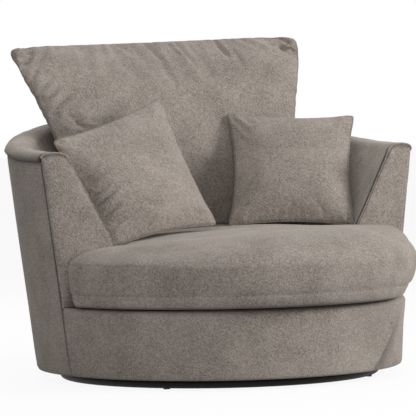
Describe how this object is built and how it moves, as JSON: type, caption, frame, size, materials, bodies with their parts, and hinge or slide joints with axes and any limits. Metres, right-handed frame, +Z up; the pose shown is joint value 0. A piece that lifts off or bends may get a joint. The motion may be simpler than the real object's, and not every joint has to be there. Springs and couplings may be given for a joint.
{
  "type": "swivel cuddle chair",
  "caption": "Round upholstered swivel cuddle chair with a curved tub back, a thick loose seat cushion, a tall back cushion and scatter cushions on a dark floor ring.",
  "frame": {"origin": "on the swivel axis at floor level, under the middle of the chair", "axes": "+X to the right as seen from the front, -Y to the front, +Y to the back, +Z up"},
  "size_m": [1.235, 1.2415, 1.0097],
  "materials": {
    "velour": "matte",
    "deck_cloth": "matte",
    "black_lining": "matte",
    "foam": "matte",
    "fibre_filling": "matte",
    "frame_wood": "matte",
    "black_steel": "satin",
    "bright_steel": "satin",
    "black_plastic": "matte"
  },
  "bodies": {
    "base": {"base_ring": "black_steel", "cross_bar_long": "black_steel", "cross_bar_rear": "black_steel", "cross_bar_front": "black_steel", "glide_1": "black_plastic", "glide_2": "black_plastic", "glide_3": "black_plastic", "glide_4": "black_plastic", "swivel_lower_plate": "bright_steel"},
    "ball_race": {"ball_cage": "black_plastic", "bearing_ball_1": "bright_steel", "bearing_ball_2": "bright_steel", "bearing_ball_3": "bright_steel", "bearing_ball_4": "bright_steel", "bearing_ball_5": "bright_steel", "bearing_ball_6": "bright_steel", "bearing_ball_7": "bright_steel", "bearing_ball_8": "bright_steel"},
    "tub": {"swivel_upper_plate": "bright_steel", "base_board": "frame_wood", "bearer_front": "frame_wood", "bearer_rear": "frame_wood", "seat_board": "frame_wood", "top_rail": "frame_wood", "upright_1": "frame_wood", "upright_2": "frame_wood", "upright_3": "frame_wood", "upright_4": "frame_wood", "upright_5": "frame_wood", "upright_6": "frame_wood", "front_post_left": "frame_wood", "arm_frame_left": "frame_wood", "front_post_right": "frame_wood", "arm_frame_right": "frame_wood", "front_panel": "frame_wood", "seat_spring_1": "bright_steel", "seat_spring_2": "bright_steel", "seat_spring_3": "bright_steel", "seat_spring_4": "bright_steel", "seat_spring_5": "bright_steel", "deck_pad": "foam", "inner_panel": "frame_wood", "tub_padding": "foam", "arm_facing_left": "velour", "arm_facing_right": "velour", "deck_cloth": "deck_cloth", "inside_cover": "velour", "outside_cover": "velour", "front_border": "velour", "dust_cover": "black_lining"},
    "seat_cushion": {"seat_cushion_cover": "velour", "seat_cushion_foam": "foam"},
    "back_cushion": {"back_cushion_cover": "velour", "back_cushion_filling": "fibre_filling"},
    "scatter_right": {"scatter_right_cover": "velour", "scatter_right_filling": "fibre_filling"},
    "scatter_left": {"scatter_left_cover": "velour", "scatter_left_filling": "fibre_filling"}
  },
  "joints": [
    {"name": "swivel", "type": "hinge", "parent": "base", "child": "tub", "pos_m": [0, 0, 0.04], "axis": [0, 0, 1], "continuous": true},
    {"name": "ball_race_turn", "type": "hinge", "parent": "base", "child": "ball_race", "pos_m": [0, 0, 0.04], "axis": [0, 0, 1], "continuous": true},
    {"name": "seat_cushion_lift", "type": "slide", "parent": "tub", "child": "seat_cushion", "axis": [0, 0, 1], "range_m": [0, 0.45]},
    {"name": "back_cushion_lift", "type": "slide", "parent": "seat_cushion", "child": "back_cushion", "axis": [0, 0, 1], "range_m": [0, 0.35]},
    {"name": "scatter_right_lift", "type": "slide", "parent": "back_cushion", "child": "scatter_right", "axis": [-0.2536, -0.5438, 0.8], "range_m": [0, 0.3]},
    {"name": "scatter_left_lift", "type": "slide", "parent": "back_cushion", "child": "scatter_left", "axis": [0.0419, -0.5985, 0.8], "range_m": [0, 0.3]}
  ],
  "couplings": [
    {"joint": "ball_race_turn", "follows": "swivel", "ratio": 0.5}
  ]
}
